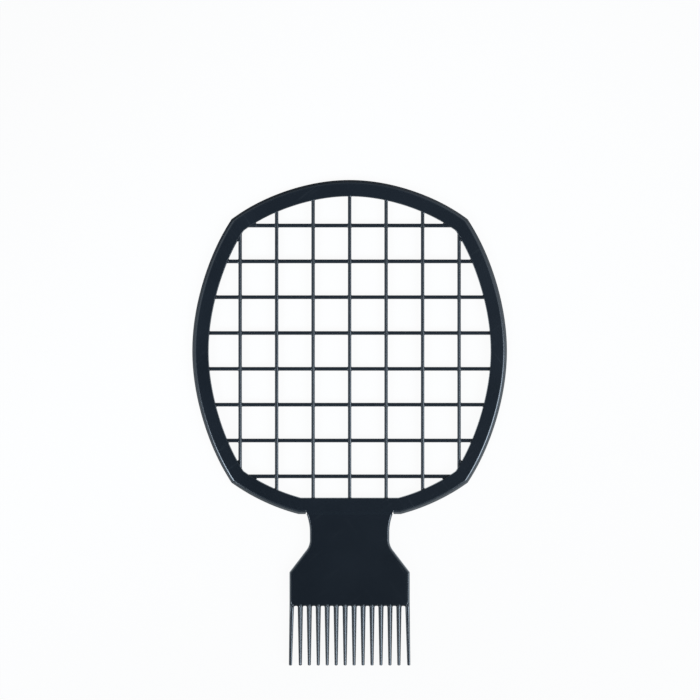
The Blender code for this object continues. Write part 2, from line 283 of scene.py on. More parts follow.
class CombTeethSizes(bpy.types.PropertyGroup):
    """Sizes of the teeth."""

    length: length("Length", 0.03145, "From the blade to the tips")
    root_width: length("Root width", 0.00285, "Width of a tooth at its root")
    end_root_width: length("End root width", 0.00245, "Width of an end tooth at its root")
    tip_width: length("Tip width", 0.00165, "Width at the tip")
    end_splay: length("End splay", 0.0003, "How far the end teeth lean out")
    root_depth: length("Root depth", 0.0038, "Depth at the root")
    tip_depth: length("Tip depth", 0.002, "Depth at the tip")
    tip_round: length("Tip round", 0.0005, "Length of the round end of a tip")
    end_blend: length("End blend", 0.006, "Where an end tooth is still deeper than the others")
    sharpness: number("Sharpness", 1.15, "Power of a section: 1 is an ellipse, 2 a diamond", 0.1, 2)
    end_sharpness: number("End sharpness", 0.72, "Power for an end tooth, which is flatter", 0.1, 2)


class CombPlastic(bpy.types.PropertyGroup):
    """Finish of the black moulded plastic."""

    colour: tint("Colour", (0.0032, 0.0069, 0.0122), "Colour of the plastic")
    worn_colour: tint("Worn colour", (0.021, 0.028, 0.037), "Colour where the plastic is rubbed")
    roughness: number("Roughness", 0.3, "Roughness of the faces")
    gloss: number("Gloss", 0.72, "Weight of the clear gloss")
    tooth_gloss: number("Tooth gloss", 1.0, "Weight of the gloss on the teeth, which hair polishes")
    grain: length("Grain", 0.000003, "Height of the fine mould grain")
    polished_grain: number("Polished grain", 0.3, "Share of the grain that hair leaves on a piece")
    wave: length("Wave", 0.000022, "Height of the soft waves of cooling")


class CombStudio(bpy.types.PropertyGroup):
    """The floor, the room, the lamps and the camera."""

    floor_colour: tint("Floor colour", (0.9, 0.9, 0.9), "Colour of the floor where light falls")
    floor_glow: number("Floor glow", 0.945, "Share of the floor's look that takes no shadow")
    # A share of the pool of light that is painted on the floor for reflections
    mirror_glow: number("Mirror glow", 1.0, "Share of the floor's pool of light that reflections show")
    backdrop: number("Backdrop", 0.995, "Brightness of the floor and the backdrop to the camera")
    left_power: FloatProperty(
        name="Left power", description="Power of the left softbox", default=0.24, min=0, unit="POWER"
    )
    right_power: FloatProperty(
        name="Right power", description="Power of the right softbox", default=0.465, min=0, unit="POWER"
    )
    view_width: length("View width", 0.3682, "Width of the picture at the comb")
    camera_height: length("Camera height", 1.25, "Height of the camera over the comb")
    seed: IntProperty(name="Seed", description="Seed of the finish", default=3)


class Shade:
    """A node's output that Python's operators add Math nodes to."""

    def __init__(self, tree, socket):
        self.tree = tree
        self.socket = socket

    def math(self, operation, *values):
        """A Math node on these values, which are numbers or shades."""
        return node(self.tree, "ShaderNodeMath", {"operation": operation}, dict(enumerate(values)))

    def __add__(self, other):
        return self.math("ADD", self, other)

    def __radd__(self, other):
        return self.math("ADD", other, self)

    def __sub__(self, other):
        return self.math("SUBTRACT", self, other)

    def __rsub__(self, other):
        return self.math("SUBTRACT", other, self)

    def __mul__(self, other):
        return self.math("MULTIPLY", self, other)

    def __rmul__(self, other):
        return self.math("MULTIPLY", other, self)

    def at_least(self, other):
        """The greater of this and another value."""
        return self.math("MAXIMUM", self, other)

    def at_most(self, other):
        """The lesser of this and another value."""
        return self.math("MINIMUM", self, other)


def node(tree, kind, settings=None, inputs=None, output=0):
    """A node of a tree with its settings and its inputs, as the shade of one of its outputs.

    Settings are the node's own values, and "stops" are those of a colour ramp, as pairs of
    place and brightness. Inputs are numbers, tuples or shades. Inputs and the output go by
    name or number.
    """
    made = tree.nodes.new(kind)
    for name, value in (settings or {}).items():
        if name == "stops":
            ramp = made.color_ramp.elements
            while len(ramp) < len(value):
                ramp.new(1)
            for element, (place, grey) in zip(ramp, value):
                element.position = place
                element.color = (grey, grey, grey, 1)
        else:
            setattr(made, name, value)
    for name, value in (inputs or {}).items():
        if isinstance(value, Shade):
            tree.links.new(value.socket, made.inputs[name])
        else:
            made.inputs[name].default_value = value
    return Shade(tree, made.outputs[output])


def show_surface(tree, kind, shade):
    """The tree's output node, which shows a shade as its surface."""
    made = tree.nodes.new(kind)
    tree.links.new(shade.socket, made.inputs["Surface"])


def mix_colours(tree, factor, first, second):
    """A colour between two, by a factor. The numbers are those of the node's colour sockets."""
    inputs = {0: factor, 6: first, 7: second}
    return node(tree, "ShaderNodeMix", {"data_type": "RGBA"}, inputs, output=2)


def grey_ramp(tree, stops, factor):
    """The grey that a ramp with these stops has at a factor."""
    return node(tree, "ShaderNodeValToRGB", {"stops": stops}, {0: factor})


def split(tree, vector):
    """The X, Y and Z of a vector."""
    return [node(tree, "ShaderNodeSeparateXYZ", {}, {0: vector}, output=axis) for axis in range(3)]


def empty_tree(owner):
    """The node tree of a material or a world, without Blender's own first nodes."""
    owner.use_nodes = True
    owner.node_tree.nodes.clear()
    return owner.node_tree


def plastic(scene, name, gloss, polished=False, grain_turn=0.0, seed_step=0):
    """Black moulded plastic on Object coordinates, with a weight for its clear gloss.

    Soft clouds and slow flow lines along the comb vary its colour and its roughness, the
    attribute edge marks where hands and hair have rubbed it, thin scuffs run across it, and
    a bump holds the mould's grain and the shallow waves of cooling. Polished plastic, on
    the bars and the teeth, has kept only a share of its grain.
    """
    look = scene.comb_plastic
    seed = scene.comb_studio.seed + seed_step
    grain_height = look.grain * (look.polished_grain if polished else 1)
    material = bpy.data.materials.new(name)
    tree = empty_tree(material)
    place = node(tree, "ShaderNodeTexCoord", output="Object")

    def noise(scale, detail, shift, stretch=1, turn=0):
        """Noise of a scale, moved by the seed, turned about Z and then stretched along its Y."""
        moves = {"Location": (seed + shift, 0, 0), "Rotation": (0, 0, turn), "Scale": (1, stretch, 1)}
        moved = node(tree, "ShaderNodeMapping", {"vector_type": "TEXTURE"}, {"Vector": place, **moves})
        inputs = {"Vector": moved, "Scale": scale, "Detail": detail, "Roughness": NOISE_ROUGHNESS}
        return node(tree, "ShaderNodeTexNoise", {}, inputs)

    clouds = noise(scale=32, detail=3, shift=0)
    flow = noise(scale=55, detail=2, shift=5, stretch=4.5, turn=grain_turn)
    grain = noise(scale=2600, detail=2, shift=9)
    wave = noise(scale=48, detail=1, shift=13)
    lines = noise(scale=900, detail=2, shift=17, stretch=22, turn=0.6 + grain_turn)
    cross_lines = noise(scale=820, detail=2, shift=23, stretch=20, turn=-0.9)
    rubbed = noise(scale=140, detail=3, shift=29)
    edge = node(tree, "ShaderNodeAttribute", {"attribute_name": "edge"}, output="Fac")
    scuffs = grey_ramp(tree, SCUFF_STOPS, lines).at_least(grey_ramp(tree, SCUFF_STOPS, cross_lines))
    wear = (edge * (LEAST_WEAR + rubbed * WEAR_NOISE)).at_most(1.0)

    darker, lighter = ((*(tone * value for value in look.colour), 1) for tone in CLOUD_TONES)
    body = mix_colours(tree, clouds * CLOUD_TINT + flow * FLOW_TINT, darker, lighter)
    body = mix_colours(tree, wear * WEAR_TINT + scuffs * SCUFF_TINT, body, (*look.worn_colour, 1))
    roughness = look.roughness - POLISH + clouds * CLOUD_ROUGHNESS + flow * FLOW_ROUGHNESS
    roughness = roughness + scuffs * SCUFF_ROUGHNESS - wear * WEAR_POLISH
    height = grain * grain_height + wave * look.wave - scuffs * (SCUFF_DEPTH * grain_height)
    bump = node(tree, "ShaderNodeBump", {}, {"Strength": 1, "Distance": 1, "Height": height})
    finish = {"Base Color": body, "Roughness": roughness, "Normal": bump, "IOR": PLASTIC_INDEX}
    finish |= {"Coat Weight": gloss, "Coat Roughness": GLOSS_ROUGHNESS}
    shader = node(tree, "ShaderNodeBsdfPrincipled", {}, finish)
    show_surface(tree, "ShaderNodeOutputMaterial", shader)
    material.diffuse_color = (*look.colour, 1)
    return material


def even(start, stop, steps):
    """Values at an even pitch, with both ends."""
    return np.linspace(start, stop, steps + 1)


def between(start, stop, steps):
    """Points at an even pitch from one to another, without both ends."""
    return start + (stop - start) * even(0, 1, steps)[1:-1, None]


def closed_surface(name, grid, edge, around=False):
    """A closed mesh from a grid of points whose columns join round.

    The rows join round too where around is set, and otherwise the first and the last row
    are capped. Six times the volume is the sum, over each quad's two triangles, of the
    product of one corner with the cross product of the others, and the faces turn where it
    is below zero. The grid's edge values become the attribute edge.
    """
    rows, columns = grid.shape[:2]
    here = np.arange(rows * columns).reshape(rows, columns)
    below = np.roll(here, -1, axis=0)
    if not around:
        here, below = here[:-1], below[:-1]
    quads = np.stack([here, np.roll(here, -1, 1), np.roll(below, -1, 1), below], -1).reshape(-1, 4)
    points = grid.reshape(-1, 3)
    centred = points - points.mean(0)
    corners = [centred[quads[:, corner]] for corner in range(4)]
    volume = sum((corners[0] * np.cross(corners[i], corners[i + 1])).sum() for i in (1, 2))
    faces = quads if volume > 0 else quads[:, ::-1]
    faces = faces.tolist()
    if not around:
        first = list(range(columns))
        last = list(range((rows - 1) * columns, rows * columns))
        faces += [first[::-1], last] if volume > 0 else [first, last[::-1]]
    mesh = bpy.data.meshes.new(name)
    mesh.from_pydata(points.tolist(), [], faces)
    mesh.shade_smooth()
    mesh.set_sharp_from_angle(angle=SMOOTH_ANGLE)
    values = mesh.attributes.new("edge", "FLOAT", "POINT")
    values.data.foreach_set("value", np.broadcast_to(edge, grid.shape[:2]).astype(np.float32).ravel())
    return mesh


def add_piece(name, mesh, material, slot, *nodes):
    """An object for a mesh, which stands for nodes of the solid model."""
    made = bpy.data.objects.new(name, mesh)
    bpy.context.scene.collection.objects.link(made)
    mesh.materials.append(material)
    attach(made, "root")
    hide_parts(*nodes)


def box_middle(name):
    """The middle of a node's box in the frame."""
    return [(low + high) / 2 for low, high in zip(*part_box(name))]


def merged_stations(low, high, *runs):
    """Sorted stations from low to high, from several runs of them, with near doubles dropped."""
    stations = np.unique(np.round(np.concatenate([*runs, [low, high]]), STATION_DIGITS))
    stations = stations[np.concatenate([[True], np.diff(stations) > STATION_GAP])]
    return stations[(stations >= low - STATION_SLACK) & (stations <= high + STATION_SLACK)]


def oblong(angles, sharpness):
    """A rounded oblong of half sizes 1: the cosine and the sine, each with its size to a power."""
    across = np.sign(np.cos(angles)) * np.abs(np.cos(angles)) ** sharpness
    up = np.sign(np.sin(angles)) * np.abs(np.sin(angles)) ** sharpness
    return across, up


def ring_facts(ring, blade):
    """Radii and centres of the ring's arcs, its band, its spans and its seat, from its sizes.

    An arc that bulges by a bow over half a chord has the radius that is the sum of their
    squares over twice the bow. The seat lies where the foot's circle is as wide as its flat.
    """
    corner_x = ring.width / 2 - ring.side_bow
    corner_y = ring.reach - ring.head_bow
    side_radius = (corner_y**2 + ring.side_bow**2) / (2 * ring.side_bow)
    head_radius = (corner_x**2 + ring.head_bow**2) / (2 * ring.head_bow)
    foot_radius = (corner_x**2 + ring.foot_bow**2) / (2 * ring.foot_bow)
    foot_y = corner_y + ring.foot_bow - foot_radius
    half_flat = blade.neck_width / 2 + ring.notch_width + ring.foot_land
    half = (RING_HIGH.z - RING_LOW.z) / 2
    rise = half - ring.edge_fillet * (1 - math.sin(ring.wall_draft)) - ring.parting_land / 2
    return {
        "side_radius": side_radius,
        "side_x": ring.width / 2 - side_radius,
        "end_radii": (head_radius, foot_radius),
        "end_ys": (ring.reach - head_radius, foot_y),
        "seat": foot_y + math.sqrt(foot_radius**2 - half_flat**2),
        "half": half,
        "band": ring.edge_fillet * math.cos(ring.wall_draft) + rise * math.tan(ring.wall_draft),
        "spans": (ring.width / 2, ring.reach),
        "centre_y": RING_HIGH.y - ring.reach,
    }


def arcs(centre_x, centre_y, radius, start, stop, steps, ease=0):
    """Arcs, one row for each radius: the centre plus the reach times the cosine and the
    sine of angles at an even pitch from start to stop. The reach is the radius less the
    ease times the square of a half wave's sine, so it's shortest halfway."""
    run = even(0, 1, steps)
    angles = start + (stop - start) * run
    reach = radius - ease * np.sin(math.pi * run) ** 2
    return np.stack([centre_x + reach * np.cos(angles), centre_y + reach * np.sin(angles)], -1)


def ring_quarter(ring, facts, inset, to_foot):
    """Quarters of the ring's outline, one row for each inset, from its side to its end.

    Each runs up the side arc, round the corner and along the end arc. The corner's centre
    is where the side and end circles, both drawn in by the inset and the corner's radius,
    cross: as far along the line of their centres as the difference of the squares gives,
    and aside by Pythagoras. At the foot the end arc stops where it meets the flat seat.
    """
    end_y = facts["end_ys"][to_foot]
    side_radius = facts["side_radius"] - inset
    end_radius = facts["end_radii"][to_foot] - inset
    grown = ring.inner_corner - ring.outer_corner
    corner_radius = ring.outer_corner + grown * inset / ring.rim_width
    near, far = side_radius - corner_radius, end_radius - corner_radius
    apart = math.hypot(facts["side_x"], end_y)
    unit_x, unit_y = -facts["side_x"] / apart, end_y / apart
    along = (apart**2 + near**2 - far**2) / (2 * apart)
    aside = np.sqrt(near**2 - along**2)
    corner_x = facts["side_x"] + unit_x * along - unit_y * aside
    corner_y = unit_y * along + unit_x * aside
    side_stop = np.arctan2(corner_y, corner_x - facts["side_x"])
    end_start = np.arctan2(corner_y - end_y, corner_x)
    end_stop = np.full_like(inset, QUARTER)
    if to_foot:
        end_stop = np.arcsin((facts["seat"] - inset - end_y) / end_radius)
    side = arcs(facts["side_x"], 0, side_radius, 0 * inset, side_stop, ARC_STEPS, ring.side_ease)
    corner = arcs(corner_x, corner_y, corner_radius, side_stop, end_start, CORNER_STEPS)
    end_ease = 0 if to_foot else ring.head_ease
    end = arcs(0, end_y, end_radius, end_start, end_stop, ARC_STEPS, end_ease)
    return np.concatenate([side, corner[:, 1:-1], end], 1)


def ring_outline(ring, blade, facts, inset):
    """Closed outlines of the ring, one row for each inset, anticlockwise from the seat.

    The seat is a straight line, and the arcs follow after the notch beside the neck, a V
    with a rounded tip: its depth times one less a power of how far the place lies from the
    notch's middle. The left half mirrors the right one.
    """
    beyond_band = 0.000001
    notch_power = 1.4
    seated = np.where(inset > facts["band"] + beyond_band, inset, 0)
    edge = blade.neck_width / 2 - ring.notch_inset
    steps = even(0, 1, SEAT_STEPS)
    seat = np.stack([edge * steps + 0 * inset, seated - facts["seat"] + 0 * steps], -1)
    run = even(0, 1, NOTCH_STEPS)[1:]
    slope = seated + (inset - seated) * run
    notch_rise = np.maximum(slope, ring.notch_depth * (1 - np.abs(2 * run - 1) ** notch_power))
    notch = np.stack([edge + ring.notch_width * run + 0 * inset, notch_rise - facts["seat"]], -1)
    foot = ring_quarter(ring, facts, inset, True)[:, ::-1] * (1, -1)
    head = ring_quarter(ring, facts, inset, False)
    lip, heel = notch[:, -1:], foot[:, :1]
    flat = between(lip, heel, HEEL_STEPS)
    right = np.concatenate([seat, notch, flat, foot, head[:, 1:]], 1)
    left = right[:, -2:0:-1] * (-1, 1)
    return np.concatenate([right, left], 1)


def rim_profile(ring, facts):
    """The rim's section as insets, heights and edge values, once round it.

    The inner wall is upright. A quarter circle leads onto the face. The outer fillet turns
    from the face down to the slope of the wall, which runs out to the parting land.
    """
    half, band = facts["half"], facts["band"]
    small, large = ring.inner_edge, ring.edge_fillet
    turn = even(0, QUARTER, INNER_EDGE_STEPS)
    inner = np.stack([ring.rim_width - small + small * np.cos(turn), half - small + small * np.sin(turn)])
    face = even(ring.rim_width - 3 * small, band + small, FACE_STEPS)
    face = np.stack([face, np.full_like(face, half)])
    turn = even(QUARTER, ring.wall_draft, FILLET_STEPS)
    outer = np.stack([band - large * np.cos(turn), half - large + large * np.sin(turn)])
    steps = even(0, 1, WALL_STEPS)[1:]
    land = np.array([[0.0], [ring.parting_land / 2]])
    wall = outer[:, -1:] + (land - outer[:, -1:]) * steps
    front = np.concatenate([inner, face, outer, wall], 1)
    opening_mark = np.full_like(inner[0], OPENING_WEAR)
    wall_mark = even(*WALL_WEAR, WALL_STEPS - 1)
    marks = np.concatenate([opening_mark, np.zeros_like(face[0]), np.ones_like(outer[0]), wall_mark])
    back = front[:, ::-1] * np.array([[1], [-1]])
    profile = np.concatenate([front, back], 1)
    return profile[0], profile[1], np.concatenate([marks, marks[::-1]])


def rim_mesh(ring, blade):
    """The rim: its section carried round the outlines that its insets draw."""
    facts = ring_facts(ring, blade)
    inset, height, marks = rim_profile(ring, facts)
    outline = ring_outline(ring, blade, facts, inset[:, None])
    level = np.broadcast_to(height[:, None, None], (*outline.shape[:2], 1))
    grid = np.concatenate([outline, level], 2) + (0, facts["centre_y"], facts["half"])
    return closed_surface("rim", grid, marks[:, None], around=True)


def wall_places(quarter, place, towards, level):
    """Where the lines at these places meet the opening's wall, and the corners' angles there.

    The lines run along Y, or along X where level is set.
    The wall is read off the quarter outline. Its slope, over a step to each side, towards
    the cell that lies beside the line gives the angle of that cell's corner, from the line
    to the wall.
    """
    step = 0.0002
    run, rise = (quarter[:, 1], quarter[:, 0]) if level else (quarter[:, 0], quarter[:, 1])
    order = np.argsort(run)
    run, rise = run[order], rise[order]
    out = np.abs(place)
    slope = (np.interp(out + step, run, rise) - np.interp(out - step, run, rise)) / (2 * step)
    lean = slope * towards * np.sign(place)
    angle = np.arccos(-lean / np.sqrt(1 + lean**2))
    return np.interp(out, run, rise), angle


def fillet_spread(radius, lag):
    """How far a fillet spreads at a lag behind its tangent: the radius less the root of its
    square less the square of the lag."""
    return radius - np.sqrt(radius**2 - lag**2)


def end_flare(inward, angle, radius):
    """How far a bar's side spreads near the rim, inward from the corner that they make.

    It is the fillet's circle, tangent to the bar's side and to the wall.
    """
    tangent = radius / math.tan(angle / 2)
    furthest = radius * (1 if angle < QUARTER else math.sin(angle))
    return fillet_spread(radius, np.clip(tangent - inward, 0, furthest))


def bar_side(stations, side, half_width, ends, crossings, grid_sizes):
    """How far one side of a bar lies from the bar's line, at each station.

    It lies half the width from the line, and spreads along the fillets at the walls and, on
    a level bar, at the upright bars.
    """
    spread = np.zeros_like(stations)
    for sign in (-1, 1):
        wall, angle = ends[sign, side]
        spread = np.maximum(spread, end_flare(wall - sign * stations, angle, grid_sizes.rim_fillet))
    fillet = grid_sizes.crossing_fillet
    for crossing in crossings:
        beyond = np.abs(stations - crossing) - grid_sizes.bar_width / 2
        lag = np.clip(fillet - beyond, 0, fillet)
        spread = np.maximum(spread, fillet_spread(fillet, lag))
    return side * (half_width + spread)


def bar_mesh(name, place, upright, crossings, quarters, grid_sizes, facts):
    """One bar of the grid, from wall to wall.

    Its section has upright sides between a front and a back that are half ellipses: half
    the width times the cosine, and the cap times the sine. The stations along it crowd at
    the walls and at the crossings.
    """
    past_wall = 0.0004
    fillet_reach = grid_sizes.rim_fillet * 4
    under_crossing = 0.9
    half_width = (grid_sizes.bar_width + (0 if upright else grid_sizes.level_widening)) / 2
    ends = {}
    runs = [even(-1, 1, BAR_STEPS) * facts["spans"][upright]]
    for sign, quarter in zip((-1, 1), quarters):
        for side in (-1, 1):
            line = np.array([place + side * half_width])
            wall, angle = wall_places(quarter, line, side, not upright)
            ends[sign, side] = (float(wall[0]), float(angle[0]))
            runs.append(sign * (wall[0] - even(-past_wall, fillet_reach, END_STEPS)))
    fillet = grid_sizes.crossing_fillet * (1 - np.cos(even(0, QUARTER, CROSSING_STEPS)))
    for crossing in crossings:
        around = grid_sizes.bar_width / 2 + np.concatenate([[-under_crossing * half_width], fillet])
        runs += [crossing - around, crossing + around]
    low = -max(ends[-1, side][0] for side in (-1, 1)) - grid_sizes.root_overlap
    high = max(ends[1, side][0] for side in (-1, 1)) + grid_sizes.root_overlap
    stations = merged_stations(low, high, *runs)
    left = bar_side(stations, -1, half_width, ends, crossings, grid_sizes)
    right = bar_side(stations, 1, half_width, ends, crossings, grid_sizes)
    turn = even(0, math.pi, CAP_STEPS)
    across = np.concatenate([np.cos(turn), -np.cos(turn)])
    up = np.concatenate([np.sin(turn), -np.sin(turn)])
    lateral = place + (right + left)[:, None] / 2 + (right - left)[:, None] / 2 * across
    along = stations[:, None] + 0 * across
    front_sink, back_sink = (0, grid_sizes.row_sink) if upright else (grid_sizes.row_sink, 0)
    front = grid_sizes.bar_depth / 2 - front_sink - grid_sizes.cap
    back = grid_sizes.bar_depth / 2 - back_sink - grid_sizes.cap
    straight = np.repeat([front, -back], len(turn))
    height = straight + grid_sizes.cap * up + facts["half"] + 0 * stations[:, None]
    plan = [lateral, along + facts["centre_y"]] if upright else [along, lateral + facts["centre_y"]]
    edge = BAR_WEAR * np.clip(up, 0, 1) ** 2
    return closed_surface(name, np.stack([*plan, height], -1), edge)


def blade_side(blade):
    """The right side of the handle blade from its top down, as widths and depths below it.

    The neck narrows by a square law to the waist, an arc leads to the straight flare,
    another arc to the shank, and the shank runs straight to the roots of the teeth. Its
    stations crowd where the corner of the face turns and at the lip, and those of the land
    start just below the lip.
    """
    below_lip = 1.1
    half_waist, half_blade = blade.waist_width / 2, blade.width / 2
    steps = even(1, 0, NECK_STEPS)
    neck_x = half_waist + (blade.neck_width / 2 - half_waist) * steps**2
    neck = np.stack([neck_x, -blade.neck_length * (1 - steps)], -1)
    waist = np.array([half_waist, -blade.neck_length])
    flare = waist - (0, blade.waist_length)
    shoulder = np.array([half_blade, flare[1] - blade.flare_length])
    foot = shoulder - (0, blade.shank_length)
    first = rounded_corner(waist, flare, shoulder, blade.waist_radius, WAIST_STEPS)
    second = rounded_corner(flare, shoulder, foot, blade.shoulder_radius, SHOULDER_STEPS)
    face_end = foot[1] + blade.land
    blend = face_end + blade.corner_blend * (1 - np.sin(even(0, QUARTER, BLEND_STEPS)))
    lip = face_end - blade.lip_round * np.sin(even(0, QUARTER, LIP_STEPS)[1:])
    land = even(face_end - below_lip * blade.lip_round, foot[1], LAND_STEPS)
    low = np.concatenate([blend, lip, land])
    shank = np.stack([np.full_like(low, half_blade), low], -1)
    straight = between(first[-1], second[0], STRAIGHT_STEPS)
    down = between(second[-1], shank[0], STRAIGHT_STEPS)
    return np.concatenate([neck, first[1:], straight, second, down, shank])


def rounded_corner(before, corner, after, radius, steps):
    """The arc that rounds a corner: it touches both runs where the radius over the tangent
    of half the corner's angle says, and uses at most a share of the shorter run."""
    most_of_run = 0.45
    back, onward = before - corner, after - corner
    back_length, onward_length = np.linalg.norm(back), np.linalg.norm(onward)
    back, onward = back / back_length, onward / onward_length
    half = math.acos(float(back @ onward)) / 2
    reach = min(radius / math.tan(half), most_of_run * min(back_length, onward_length))
    fitted = reach * math.tan(half)
    middle = (back + onward) / np.linalg.norm(back + onward)
    centre = corner + middle * fitted / math.sin(half)
    start = math.atan2(*(corner + back * reach - centre)[::-1])
    stop = math.atan2(*(corner + onward * reach - centre)[::-1])
    turn = (stop - start + math.pi) % (2 * math.pi) - math.pi
    angles = start + turn * even(0, 1, steps)
    return centre + fitted * np.stack([np.cos(angles), np.sin(angles)], -1)


def mirrored_round(quarter, middle_sign, level_sign):
    """Values once round a section, from those of its upper right quarter.

    They are mirrored over the section's middle and then over its level, times a sign each.
    """
    upper = np.concatenate([quarter, middle_sign * quarter[..., -2::-1]], -1)
    return np.concatenate([upper, level_sign * upper[..., -2:0:-1]], -1)


def blade_mesh(ring, blade, teeth):
    """The handle blade, as level sections from the ring's seat down to the roots.

    A section is a slab whose sides are half ellipses: from the side inwards, the round's
    width times one less the cosine, and the half height times the sine. The width is
    measured square to the side, so across the section it is longer by the side's slope,
    and above the teeth it grows by a quarter ellipse to the width of an end tooth. The
    face ends in a lip, a quarter circle, above the lower land, which starts past the lip.
    """
    past_lip = 1.05
    facts = ring_facts(ring, blade)
    half = facts["half"]
    side = blade_side(blade)
    width, depth = side[:, 0], side[:, 1]
    lengthen = np.sqrt(1 + np.gradient(width, depth) ** 2)
    below = depth[-1] + blade.land - depth
    grow = 1 - np.sqrt(1 - np.clip(1 + below / blade.corner_blend, 0, 1) ** 2)
    across = blade.side_round * lengthen + (teeth.end_root_width - blade.side_round) * grow
    lag = np.clip(below, 0, blade.lip_round)
    height = half - blade.lip_round + np.sqrt(blade.lip_round**2 - lag**2)
    height = np.where(below > past_lip * blade.lip_round, half - blade.land_drop, height)
    turn = even(0, QUARTER, SIDE_STEPS)
    face = np.array(FACE_PLACES)
    round_x = width[:, None] - across[:, None] * (1 - np.cos(turn))
    x = mirrored_round(np.concatenate([round_x, face * (width - across)[:, None]], 1), -1, 1)
    rise = mirrored_round(np.concatenate([np.sin(turn), np.ones_like(face)]), 1, -1)
    marks = np.concatenate([even(*BLADE_SIDE_WEAR, SIDE_STEPS), np.zeros_like(face)])
    z = height[:, None] * rise
    top = facts["centre_y"] - facts["seat"]
    y = np.broadcast_to((top + depth)[:, None], x.shape)
    grid = np.stack([x, y, z + half], -1)
    return closed_surface("handle_blade_skin", grid, mirrored_round(marks, 1, 1))


def tooth_places(blade, teeth):
    """Left and right sides of the teeth at their roots, the middles of their tips, and the gap
    between two teeth."""
    count = len(TOOTH_NODES)
    root = np.full(count, teeth.root_width)
    root[[0, -1]] = teeth.end_root_width
    gap = (blade.width - root.sum()) / (count - 1)
    left = -blade.width / 2 + np.concatenate([[0], np.cumsum(root + gap)[:-1]])
    right = left + root
    tip = (left + right) / 2
    tip[0] = left[0] - teeth.end_splay + teeth.tip_width / 2
    tip[-1] = right[-1] + teeth.end_splay - teeth.tip_width / 2
    return left, right, tip, gap


def tooth_mesh(name, index, ring, blade, teeth):
    """One tooth, as sections from the end of the blade's face to its rounded tip.

    Its sides run straight from root to tip and spread at the root along quarter circles
    that make the round tops of the gaps. Its depth tapers alike, apart from an end tooth,
    which starts nearly as deep as the blade and nears the others by a square law. The tip
    is closed by half an ellipse. A section is a rounded oblong, flatter on an end tooth.
    """
    under_face = 0.0001
    end_fullness = 0.98
    facts = ring_facts(ring, blade)
    left, right, tip, gap = tooth_places(blade, teeth)
    outer_left, outer_right = index == 0, index == len(TOOTH_NODES) - 1
    radius = gap / 2
    body = teeth.length - teeth.tip_round
    near = radius * (1 - np.cos(even(0, QUARTER, ROOT_STEPS)))
    start = -blade.land - under_face
    over_land = np.concatenate([[start], -near[near < blade.land][:0:-1]])
    down = np.concatenate([over_land, near, even(radius, body, TOOTH_STEPS)[1:]])
    run = down / teeth.length
    spread = fillet_spread(radius, np.clip(radius - np.abs(down), 0, radius))
    left_x = left[index] + (tip[index] - teeth.tip_width / 2 - left[index]) * run
    right_x = right[index] + (tip[index] + teeth.tip_width / 2 - right[index]) * run
    left_x = left_x - (0 if outer_left else 1) * spread
    right_x = right_x + (0 if outer_right else 1) * spread
    height = (teeth.root_depth + (teeth.tip_depth - teeth.root_depth) * run) / 2
    sharpness = teeth.sharpness
    if outer_left or outer_right:
        sharpness = teeth.end_sharpness
        left_over = np.clip(1 - (down - start) / teeth.end_blend, 0, 1)
        height = height + (end_fullness * facts["half"] - teeth.root_depth / 2) * left_over**2
    turn = even(0, TIP_TURN, TIP_STEPS)[1:]
    centre, half = (left_x + right_x) / 2, (right_x - left_x) / 2
    centre = np.concatenate([centre, np.full_like(turn, centre[-1])])
    half = np.concatenate([half, half[-1] * np.cos(turn)])
    height = np.concatenate([height, height[-1] * np.cos(turn)])
    down = np.concatenate([down, body + teeth.tip_round * np.sin(turn)])
    angles = even(0, 2 * math.pi, TOOTH_SIDES)[:-1]
    across, up = oblong(angles, sharpness)
    x = centre[:, None] + half[:, None] * across
    y = (facts["centre_y"] - facts["seat"] + blade_side(blade)[-1, 1] - down)[:, None] + 0 * angles
    z = facts["half"] + height[:, None] * up
    root_wear, tip_wear = TOOTH_WEAR
    edge = np.clip(root_wear + (tip_wear - root_wear) * down / teeth.length, 0, 1)
    return closed_surface(name, np.stack([x, y, z], -1), edge[:, None])


class COMB_OT_make_rim(bpy.types.Operator):
    """Build the barrel-shaped rim with its crossbar"""

    bl_idname = "comb.make_rim"
    bl_label = "Make rim"

    def execute(self, context):
        scene = context.scene
        mesh = rim_mesh(scene.comb_ring, scene.comb_blade)
        material = plastic(scene, "rim_plastic", scene.comb_plastic.gloss)
        add_piece("rim", mesh, material, "ring_plastic", "ring")
        return {"FINISHED"}


class COMB_OT_make_grid(bpy.types.Operator):
    """Build the upright and level bars of the grid"""

    bl_idname = "comb.make_grid"
    bl_label = "Make grid"

    def execute(self, context):
        scene = context.scene
        ring, sizes = scene.comb_ring, scene.comb_grid
        facts = ring_facts(ring, scene.comb_blade)
        inner = np.array([[ring.rim_width]])
        head = ring_quarter(ring, facts, inner, False)[0]
        foot = ring_quarter(ring, facts, inner, True)[0]
        foot = np.concatenate([foot, [[0, foot[-1, 1]]]])
        columns = [box_middle(name)[0] for name in COLUMN_NODES]
        rows = [box_middle(name)[1] - facts["centre_y"] for name in ROW_NODES]
        gloss = scene.comb_plastic.gloss
        material = plastic(scene, "bar_plastic", gloss, True, BAR_GRAIN_TURN, BAR_SEED_STEP)
        for name, place in zip(COLUMN_NODES, columns):
            mesh = bar_mesh(name, place, True, [], (foot, head), sizes, facts)
            add_piece(name + "_skin", mesh, material, "bar_plastic", name)
        for name, place in zip(ROW_NODES, rows):
            quarter = head if place > 0 else foot
            mesh = bar_mesh(name, place, False, columns, (quarter, quarter), sizes, facts)
            add_piece(name + "_skin", mesh, material, "bar_plastic", name)
        return {"FINISHED"}


